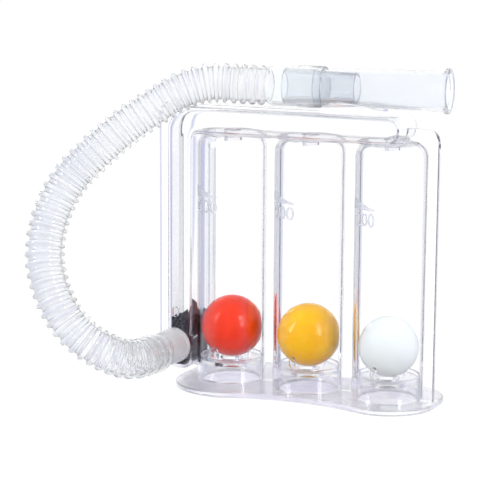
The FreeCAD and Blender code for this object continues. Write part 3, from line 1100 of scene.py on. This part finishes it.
@dataclass
class Room:
    """Pale floor, sky, lamps and the camera.

    The shades are colour ramps. The painted shadow under the foot runs over x on the floor,
    through_shade over |y| and drape_shade over x of a bent ray's direction, flag_shade over y
    and wing_shade over x of a mirrored ray's, with -1..1 written as 0..1.
    """

    azimuth: float = 27.36
    elevation: float = 9.957
    roll: float = 0.30
    distance: float = 787.3
    target: Point = (-28.28, 0.0, 66.83)
    focal_pixels: float = 1700.0
    frame_pixels: float = 480.0
    floor_size: float = 12.0
    floor_glow: float = 1.08
    floor_share: float = 0.85
    # Reach of the painted shadow under the foot, in metres.
    footprint_left: float = -0.055
    footprint_right: float = 0.065
    footprint_near: float = 0.058
    footprint_far: float = 0.072
    footprint_squeeze: float = 2.2
    # Painted shadow under the foot: lighter at both ends of x, darkest at 0.6 of the way across.
    footprint_painted_shadow: Stops = ((0.0, (0.94, 0.92, 1.0)), (0.6, (0.80, 0.77, 0.87)), (1.0, (0.99, 0.98, 1.0)))
    # Painted caustic streaks: swirls that darken parts of the painted shadow to 0.86.
    painted_streak_ramp: Stops = ((0.45, (0.86, 0.86, 0.92)), (0.56, WHITE))
    through_shade: Stops = ((0.0, (0.42, 0.44, 0.58)), (0.35, (0.72, 0.74, 0.86)), (0.6, WHITE), (1.0, WHITE))
    drape_shade: Stops = (
        (0.0, (0.36, 0.39, 0.54)), (0.14, (0.48, 0.51, 0.66)), (0.215, (0.66, 0.68, 0.80)), (0.245, WHITE),
        (0.6, WHITE), (0.72, (0.9, 0.9, 0.96)), (1.0, (0.8, 0.81, 0.9)))
    flag_shade: Stops = (
        (0.1, (0.17, 0.17, 0.19)), (0.3, (0.32, 0.32, 0.42)), (0.5, (0.60, 0.62, 0.80)), (0.75, WHITE))
    wing_shade: Stops = ((0.58, WHITE), (0.7, (0.66, 0.68, 0.82)))
    sky_light: Colour = (0.97, 0.98, 1.0)
    sky_strength: float = 0.85
    behind_wall_extra: float = 1.7
    through_strength: float = 1.2
    mirror_strength: float = 0.9
    mirror_in_wall_extra: float = 0.3

    def camera(self) -> None:
        """Place the camera: the target less the distance along the view, turned by the roll."""
        a, e, r = (math.radians(v) for v in (self.azimuth, self.elevation, self.roll))
        ahead = np.array([-math.sin(a) * math.cos(e), math.cos(a) * math.cos(e), -math.sin(e)])
        right = np.array([math.cos(a), math.sin(a), 0.0])
        up = np.cross(right, ahead)
        across = math.cos(r) * right + math.sin(r) * up
        above = -math.sin(r) * right + math.cos(r) * up
        data = bpy.data.cameras.new("camera")
        data.sensor_width = 36.0
        data.lens = self.focal_pixels / self.frame_pixels * data.sensor_width
        data.clip_start = 0.05
        data.clip_end = 60.0
        camera = bpy.data.objects.new("camera", data)
        place = np.array(self.target) - ahead * self.distance
        turn = Matrix(np.stack([across, above, -ahead], 1).tolist()).to_4x4()
        camera.matrix_world = Matrix.Translation(Vector(place * MM)) @ turn
        bpy.context.scene.collection.objects.link(camera)
        bpy.context.scene.camera = camera

    def floor(self) -> None:
        """White table that keeps the shadow and is open to bent and mirrored rays.

        The camera sees the lit table, lightened by a plain glow. Rays that have been bent or
        mirrored see a painted shadow with painted caustic streaks under the foot, where the length
        of (x, squeeze y) is below footprint_near, and the open sky beyond footprint_far.
        """
        half = self.floor_size / MM / 2
        corners = np.array([[-half, -half, 0], [half, -half, 0], [half, half, 0], [-half, half, 0]])
        floor = new_piece("floor", corners, np.array([[0, 1, 2, 3]]), False)
        n = Nodes("white_table")
        n.shader.inputs["Base Color"].default_value = (0.8, 0.8, 0.8, 1)
        n.shader.inputs["Roughness"].default_value = 0.6
        path = n.add("ShaderNodeLightPath").outputs
        place = n.place.outputs["Object"]
        seen = n.math("MULTIPLY", n.math("MAXIMUM", path["Is Camera Ray"], path["Is Transmission Ray"]),
                      self.floor_share)
        glow = n.add("ShaderNodeEmission", Strength=self.floor_glow).outputs[0]
        table = n.mix(seen, n.shader.outputs[0], glow)
        x = n.feed(n.add("ShaderNodeSeparateXYZ"), place)
        across = n.unit(x, self.footprint_left, self.footprint_right)
        # Painted caustic streaks from a swirled noise, multiplied into the painted shadow.
        painted_swirl_noise = n.add("ShaderNodeTexNoise", Scale=90.0, Detail=1.0, Distortion=1.2)
        n.put(place, painted_swirl_noise.inputs["Vector"])
        painted_streaks = n.ramp(painted_swirl_noise.outputs["Fac"], self.painted_streak_ramp)
        # Painted shadow under the foot: a plain emission that bent and mirrored rays see in place of the
        # table.
        painted_shadow = n.add("ShaderNodeEmission", Strength=1.0)
        n.put(n.times(n.ramp(across, self.footprint_painted_shadow), painted_streaks), painted_shadow.inputs["Color"])
        reach = n.add("ShaderNodeVectorMath", operation="LENGTH")
        n.put(n.times(place, (1.0, self.footprint_squeeze, 1.0)), reach.inputs[0])
        beyond = n.unit(reach.outputs["Value"], self.footprint_near, self.footprint_far)
        under = n.mix(beyond, painted_shadow.outputs[0], n.add("ShaderNodeBsdfTransparent").outputs[0])
        looking = n.math("LESS_THAN", path["Diffuse Depth"], 0.5)
        bent = n.add("ShaderNodeMath", operation="MULTIPLY", use_clamp=True)
        n.feed(bent, n.math("ADD", path["Transmission Depth"], path["Glossy Depth"]), looking)
        n.put(n.mix(bent.outputs[0], table, under), n.output.inputs["Surface"])
        floor.data.materials.append(n.material)

    def sky(self) -> None:
        """White to the camera, plain light to the object, and a studio to bent and mirrored rays.

        A bent ray in direction (x, y, z) sees through(|y|) drape(x), a mirrored one flag(y)
        wing(x). Light that comes through a clear wall is stronger, because the wall takes some.
        """
        world = bpy.data.worlds.new("studio")
        bpy.context.scene.world = world
        world.use_nodes = True
        g = Graph(world.node_tree)
        out = g.add("ShaderNodeOutputWorld")
        path = g.add("ShaderNodeLightPath").outputs
        toward = g.add("ShaderNodeSeparateXYZ")
        g.put(g.add("ShaderNodeTexCoord").outputs["Generated"], toward.inputs[0])
        x = g.unit(toward.outputs["X"], -1.0, 1.0)
        y = g.unit(toward.outputs["Y"], -1.0, 1.0)
        strength = g.math("MULTIPLY_ADD", path["Is Transmission Ray"], self.behind_wall_extra,
                          self.sky_strength)
        light = g.background((*self.sky_light, 1), strength)
        through = g.ramp(g.math("ABSOLUTE", toward.outputs["Y"]), self.through_shade)
        shown = g.background(g.times(through, g.ramp(x, self.drape_shade)), self.through_strength)
        in_wall = g.math("COMPARE", path["Transmission Depth"], 2.0, 1.1)
        sheen = g.math("MULTIPLY_ADD", in_wall, self.mirror_in_wall_extra, self.mirror_strength)
        mirrored = g.background(g.times(g.ramp(y, self.flag_shade), g.ramp(x, self.wing_shade)), sheen)
        bent = g.mix(path["Is Transmission Ray"], light, shown)
        looked = g.mix(g.math("GREATER_THAN", path["Glossy Depth"], 0.5), bent, mirrored)
        lit = g.mix(g.math("GREATER_THAN", path["Diffuse Depth"], 0.5), looked, light)
        white = g.background((*WHITE, 1), 1.0)
        g.put(g.mix(path["Is Camera Ray"], lit, white), out.inputs["Surface"])

    def build(self) -> None:
        """Camera, floor, sky and lamps."""
        self.camera()
        self.floor()
        self.sky()
        SoftBox("left_soft_box", (-0.75, -0.75, 0.55), 4.0).build()
        SoftBox("right_soft_box", (0.95, -0.45, 0.55), 4.6).build()


def main() -> None:
    """Build every sub-assembly in order."""
    logging.basicConfig(level=logging.INFO)
    bpy.context.scene.view_settings.view_transform = "Standard"
    cycles = bpy.context.scene.cycles
    cycles.max_bounces = cycles.transmission_bounces = cycles.glossy_bounces = BOUNCES
    Room().build()
    LOG.info("room built")
    line = TubeLine()
    soft = MilkyPlastic("soft_tubing")
    cuff = MilkyPlastic("soft_cuff", (0.94, 0.94, 0.97), (0.97, 0.97, 0.99), clearness=0.6)
    sleeve = MilkyPlastic("soft_sleeve", (0.94, 0.965, 0.985), (0.965, 0.98, 0.99), clearness=0.96)
    frosted = MilkyPlastic("frosted_tube", (0.915, 0.932, 0.96), (0.935, 0.95, 0.972), clearness=0.95,
                           roughness=0.14, ior=1.42)
    clear = ClearPlastic("clear_adapter", (0.955, 0.972, 0.985), (0.97, 0.982, 0.99), roughness=0.06)
    cuffs = Cuffs(line, cuff, sleeve)
    ends = [cuffs.lower(), cuffs.upper(), Connector(line, clear).build(), Mouthpiece(line, frosted).build()]
    CorrugatedHose(soft).build(ends)
    LOG.info("hose line built")
    body = ClearBody()
    body.build()
    for digits, x, facing in (("600", -32.15, 250.0), ("900", 7.35, 247.0), ("1200", 46.85, 244.0)):
        FlowMark(digits, x, facing, body.marks).build()
    LOG.info("clear body built")
    red = BallPlastic("red_ball_plastic", (0.97, 0.034, 0.004), (1.0, 0.05, 0.007), (1.0, 0.25, 0.1))
    yellow = BallPlastic("yellow_ball_plastic", (0.99, 0.47, 0.002), (1.0, 0.54, 0.004), (1.0, 0.6, 0.2))
    white = BallPlastic("white_ball_plastic", (0.81, 0.85, 0.85), (0.86, 0.89, 0.89), (0.9, 0.9, 1.0))
    FloatBall(Body.RED_BALL, (-32.15, 0.0, 26.097), 14.5, red, seam_tilt=0.3).build()
    FloatBall(Body.YELLOW_BALL, (7.35, 0.0, 26.097), 14.5, yellow, seam_tilt=-0.5).build()
    FloatBall(Body.WHITE_BALL, (46.85, 0.0, 25.083), 13.6, white, seam_tilt=0.9).build()
    LOG.info("balls built")
    FoamFilter(OpenFoam("open_foam")).build()
    LOG.info("foam built")


if __name__ == "__main__":
    main()
